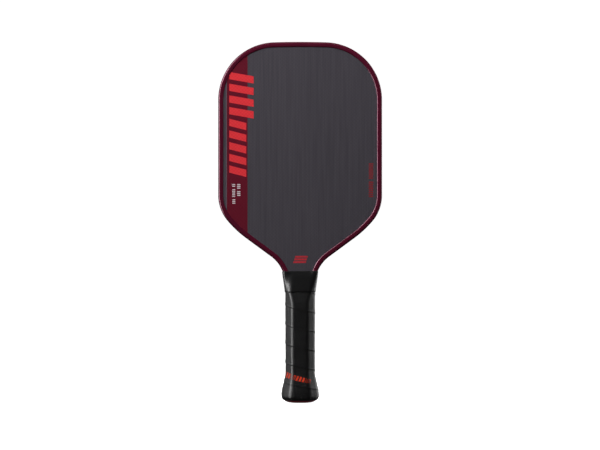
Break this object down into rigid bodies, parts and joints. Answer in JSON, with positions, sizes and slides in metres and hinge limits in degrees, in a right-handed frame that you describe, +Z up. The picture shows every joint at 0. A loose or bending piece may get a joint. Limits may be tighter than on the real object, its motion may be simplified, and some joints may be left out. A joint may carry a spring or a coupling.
{
  "type": "pickleball paddle",
  "caption": "Long-handled paddle with a flat carbon-faced honeycomb board, moulded edge guard, wrapped eight-sided grip and flared butt cap.",
  "frame": {"origin": "centre of the butt end, where the paddle stands on its butt cap", "axes": "+Z up the handle to the top of the head, +X to the right across the face, front face along -Y"},
  "size_m": [0.1906, 0.0394, 0.4191],
  "materials": {
    "honeycomb": "polypropylene honeycomb, modelled as a light slab",
    "adhesive": "clear adhesive film",
    "glass_fibre": "woven glass fibre in epoxy",
    "carbon_face": "raw woven carbon fibre, matte and slightly gritty, with a dark red printed band",
    "edge_guard": "glossy dark red polyurethane",
    "handle_foam": "dense polyurethane foam",
    "staple_steel": "plated steel wire",
    "butt_cap": "dark red moulded plastic",
    "backing_tape": "double-sided cloth tape",
    "grip": "black cushioned polyurethane wrap with fine perforations",
    "finishing_tape": "black vinyl tape, two turns"
  },
  "bodies": {
    "root": {"honeycomb_core": "honeycomb", "front_adhesive_film": "adhesive", "back_adhesive_film": "adhesive", "front_glass_ply": "glass_fibre", "back_glass_ply": "glass_fibre", "front_carbon_face": "carbon_face", "back_carbon_face": "carbon_face", "edge_bond_tape": "adhesive", "edge_guard": "edge_guard", "front_pallet": "handle_foam", "back_pallet": "handle_foam", "front_pallet_adhesive": "adhesive", "back_pallet_adhesive": "adhesive", "cap_staples": "staple_steel", "butt_cap": "butt_cap", "grip_backing_tape": "backing_tape", "grip": "grip", "finishing_tape": "finishing_tape"}
  },
  "joints": []
}
